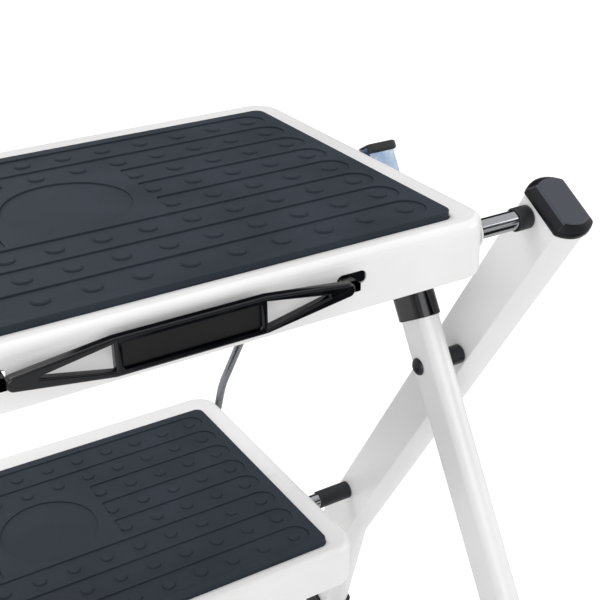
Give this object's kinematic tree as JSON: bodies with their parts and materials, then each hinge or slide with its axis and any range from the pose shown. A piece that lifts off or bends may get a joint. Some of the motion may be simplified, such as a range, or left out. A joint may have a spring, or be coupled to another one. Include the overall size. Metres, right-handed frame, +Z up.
{
  "type": "folding step stool",
  "caption": "Two-step folding steel step stool: leaning uprights and crossed rear legs, trays with ribbed mats, wire step links, support catches and a carry handle.",
  "frame": {"origin": "on the floor, under the middle of the open stool's outline", "axes": "+X to the right seen from the rear, +Y towards the climbing side, +Z up"},
  "size_m": [0.5244, 0.5002, 0.4816],
  "materials": {
    "white_steel": "satin white powder coat",
    "mat_rubber": "matt anthracite",
    "chrome_rod": "bright",
    "zinc_steel": "bright zinc plate",
    "dark_steel": "dark",
    "wire_steel": "bright drawn wire",
    "black_plastic": "satin black",
    "grey_plastic": "satin dark grey",
    "white_plastic": "natural nylon"
  },
  "bodies": {
    "outer_frame": {"front_upright_left": "white_steel", "front_upright_right": "white_steel", "upright_cap_left": "grey_plastic", "upright_cap_right": "grey_plastic", "front_foot_left": "black_plastic", "front_foot_right": "black_plastic", "top_rod": "chrome_rod", "lower_rod": "chrome_rod", "top_rod_nut_left": "zinc_steel", "top_rod_nut_right": "zinc_steel", "lower_rod_nut_left": "zinc_steel", "lower_rod_nut_right": "zinc_steel", "top_rod_spacer_left": "black_plastic", "top_rod_spacer_right": "black_plastic", "lower_rod_spacer_left": "black_plastic", "lower_rod_spacer_right": "black_plastic", "pivot_rivet_left": "dark_steel", "pivot_rivet_right": "dark_steel", "pivot_bush_left": "dark_steel", "pivot_bush_right": "dark_steel"},
    "rear_frame": {"rear_leg_left": "white_steel", "rear_leg_right": "white_steel", "leg_cap_left": "black_plastic", "leg_cap_right": "black_plastic", "rear_foot_left": "black_plastic", "rear_foot_right": "black_plastic", "rear_crossbar": "white_steel", "catch_pin_left": "dark_steel", "catch_pin_right": "dark_steel"},
    "catch_left": {"support_catch_left": "zinc_steel", "catch_grip_left": "black_plastic", "catch_rivet_left": "zinc_steel"},
    "catch_right": {"support_catch_right": "zinc_steel", "catch_grip_right": "black_plastic", "catch_rivet_right": "zinc_steel"},
    "top_step": {"top_tray": "white_steel", "top_mat": "mat_rubber", "top_step_bush_left": "white_plastic", "top_step_bush_right": "white_plastic", "support_stud_left": "zinc_steel", "support_stud_right": "zinc_steel"},
    "lower_step": {"lower_tray": "white_steel", "lower_mat": "mat_rubber", "lower_step_bush_left": "white_plastic", "lower_step_bush_right": "white_plastic"},
    "link_left": {"step_link_left": "wire_steel"},
    "link_right": {"step_link_right": "wire_steel"},
    "handle": {"carry_handle": "black_plastic"}
  },
  "joints": [
    {"name": "leg_fold", "type": "hinge", "parent": "outer_frame", "child": "rear_frame", "pos_m": [0, -0.00762, 0.37418], "axis": [1, 0, 0], "range_deg": [0, 59]},
    {"name": "catch_left_tilt", "type": "hinge", "parent": "rear_frame", "child": "catch_left", "pos_m": [-0.163, 0.00531, 0.40893], "axis": [-1, 0, 0], "range_deg": [0, 36]},
    {"name": "catch_right_tilt", "type": "hinge", "parent": "rear_frame", "child": "catch_right", "pos_m": [0.163, 0.00531, 0.40893], "axis": [-1, 0, 0], "range_deg": [0, 36]},
    {"name": "top_step_fold", "type": "hinge", "parent": "outer_frame", "child": "top_step", "pos_m": [0, -0.04945, 0.4644], "axis": [-1, 0, 0], "range_deg": [0, 54]},
    {"name": "lower_step_fold", "type": "hinge", "parent": "outer_frame", "child": "lower_step", "pos_m": [0, 0.09705, 0.2244], "axis": [-1, 0, 0], "range_deg": [0, 54]},
    {"name": "link_left_pivot", "type": "hinge", "parent": "top_step", "child": "link_left", "pos_m": [-0.1495, 0.07735, 0.4664], "axis": [1, 0, 0], "range_deg": [0, 54]},
    {"name": "link_right_pivot", "type": "hinge", "parent": "top_step", "child": "link_right", "pos_m": [0.1495, 0.07735, 0.4664], "axis": [1, 0, 0], "range_deg": [0, 54]},
    {"name": "handle_swing", "type": "hinge", "parent": "top_step", "child": "handle", "pos_m": [0.005, -0.0649, 0.4666], "axis": [-1, 0, 0], "range_deg": [0, 20]}
  ],
  "couplings": [
    {"joint": "catch_left_tilt", "follows": "leg_fold", "ratio": 0.61017},
    {"joint": "catch_right_tilt", "follows": "leg_fold", "ratio": 0.61017},
    {"joint": "top_step_fold", "follows": "leg_fold", "ratio": 0.91525},
    {"joint": "lower_step_fold", "follows": "leg_fold", "ratio": 0.91525},
    {"joint": "link_left_pivot", "follows": "leg_fold", "ratio": 0.91525},
    {"joint": "link_right_pivot", "follows": "leg_fold", "ratio": 0.91525}
  ]
}
